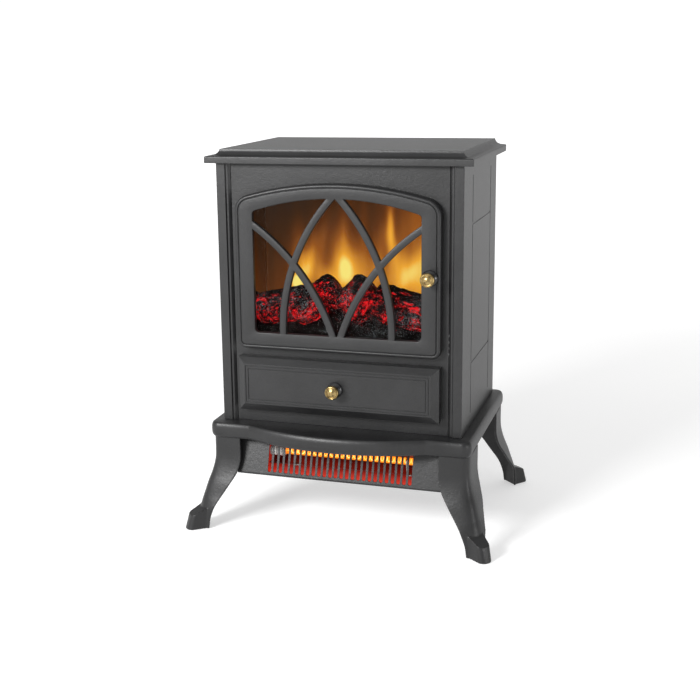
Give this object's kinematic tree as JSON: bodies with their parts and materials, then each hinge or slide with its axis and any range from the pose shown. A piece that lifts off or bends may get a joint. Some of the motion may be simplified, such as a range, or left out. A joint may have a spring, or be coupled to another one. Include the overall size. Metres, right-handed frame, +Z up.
{
  "type": "electric fireplace heater",
  "caption": "Free-standing stove-style electric fireplace: arched lattice door over glowing logs, drop-down control flap, and a quartz heating tube behind a slotted apron.",
  "frame": {"origin": "on the floor, under the centre of the bounding box", "axes": "+X to the right seen from the front, +Y to the back, +Z up"},
  "size_m": [0.406, 0.312, 0.4944],
  "materials": {
    "black_paint": "satin fine-texture black enamel",
    "black_plastic": "satin moulded black",
    "bare_steel": "plated sheet steel",
    "polished_steel": "polished",
    "aged_brass": "antiqued",
    "clear_glass": "clear, tempered",
    "quartz": "clear quartz",
    "ceramic": "unglazed off-white",
    "rubber": "matte",
    "screen_amber": "printed diffusing sheet",
    "charred_resin": "cast resin painted as charred wood",
    "circuit_green": "solder mask",
    "element_wire": "oxidised resistance wire, glowing",
    "lens_red": "clear red"
  },
  "bodies": {
    "cabinet": {"top_slab": "black_paint", "side_panel_left": "black_paint", "side_panel_right": "black_paint", "front_panel": "black_paint", "rear_cover": "black_paint", "base_ledge": "black_paint", "leg_front_left": "black_paint", "leg_front_right": "black_paint", "leg_rear_left": "black_paint", "leg_rear_right": "black_paint", "heater_grille": "black_paint", "control_tray": "black_paint", "firebox_liner": "black_paint", "door_magnet": "black_plastic", "power_switch": "black_plastic", "heat_switch": "black_plastic", "thermostat": "black_plastic", "spindle_motor": "black_plastic", "thermal_cutoff": "black_plastic", "tip_over_switch": "black_plastic", "base_pan": "bare_steel", "heater_housing": "bare_steel", "tube_bracket_left": "bare_steel", "tube_bracket_right": "bare_steel", "door_hinge_lower": "bare_steel", "door_hinge_upper": "bare_steel", "flap_hinge_left": "bare_steel", "flap_hinge_right": "bare_steel", "reflector": "polished_steel", "quartz_tube": "quartz", "tube_cap_left": "ceramic", "tube_cap_right": "ceramic", "cable_gland": "rubber", "foot_pad_front_left": "rubber", "foot_pad_front_right": "rubber", "foot_pad_rear_left": "rubber", "foot_pad_rear_right": "rubber", "flame_screen": "screen_amber", "ember_bed": "charred_resin", "log_left": "charred_resin", "log_centre_left": "charred_resin", "log_centre_right": "charred_resin", "log_right": "charred_resin", "flame_lamp_board": "circuit_green", "ember_lamp_board": "circuit_green", "heating_coil": "element_wire", "indicator_lens": "lens_red"},
    "door": {"door_frame": "black_paint", "door_pane": "clear_glass", "door_knob": "aged_brass", "door_knob_screw": "bare_steel", "door_pin_lower": "bare_steel", "door_pin_upper": "bare_steel"},
    "flap": {"control_flap": "black_paint", "flap_knob": "aged_brass", "flap_knob_screw": "bare_steel"},
    "power_rocker": {"power_rocker": "black_plastic"},
    "heat_rocker": {"heat_rocker": "black_plastic"},
    "thermostat_dial": {"thermostat_knob": "black_plastic"},
    "spindle": {"flicker_spindle": "polished_steel"}
  },
  "joints": [
    {"name": "door_swing", "type": "hinge", "parent": "cabinet", "child": "door", "pos_m": [-0.1255, -0.11265, 0.34], "axis": [0, 0, -1], "range_deg": [0, 100]},
    {"name": "flap_drop", "type": "hinge", "parent": "cabinet", "child": "flap", "pos_m": [0, -0.1125, 0.1683], "axis": [1, 0, 0], "range_deg": [0, 60]},
    {"name": "power_rocker_tilt", "type": "hinge", "parent": "cabinet", "child": "power_rocker", "pos_m": [-0.066, -0.0845, 0.197], "axis": [1, 0, 0], "range_deg": [0, 18]},
    {"name": "heat_rocker_tilt", "type": "hinge", "parent": "cabinet", "child": "heat_rocker", "pos_m": [-0.034, -0.0845, 0.197], "axis": [1, 0, 0], "range_deg": [0, 18]},
    {"name": "thermostat_turn", "type": "hinge", "parent": "cabinet", "child": "thermostat_dial", "pos_m": [0.055, -0.0855, 0.197], "axis": [0, 1, 0], "range_deg": [0, 280]},
    {"name": "spindle_turn", "type": "hinge", "parent": "cabinet", "child": "spindle", "pos_m": [0, -0.018, 0.288], "axis": [1, 0, 0], "continuous": true}
  ]
}
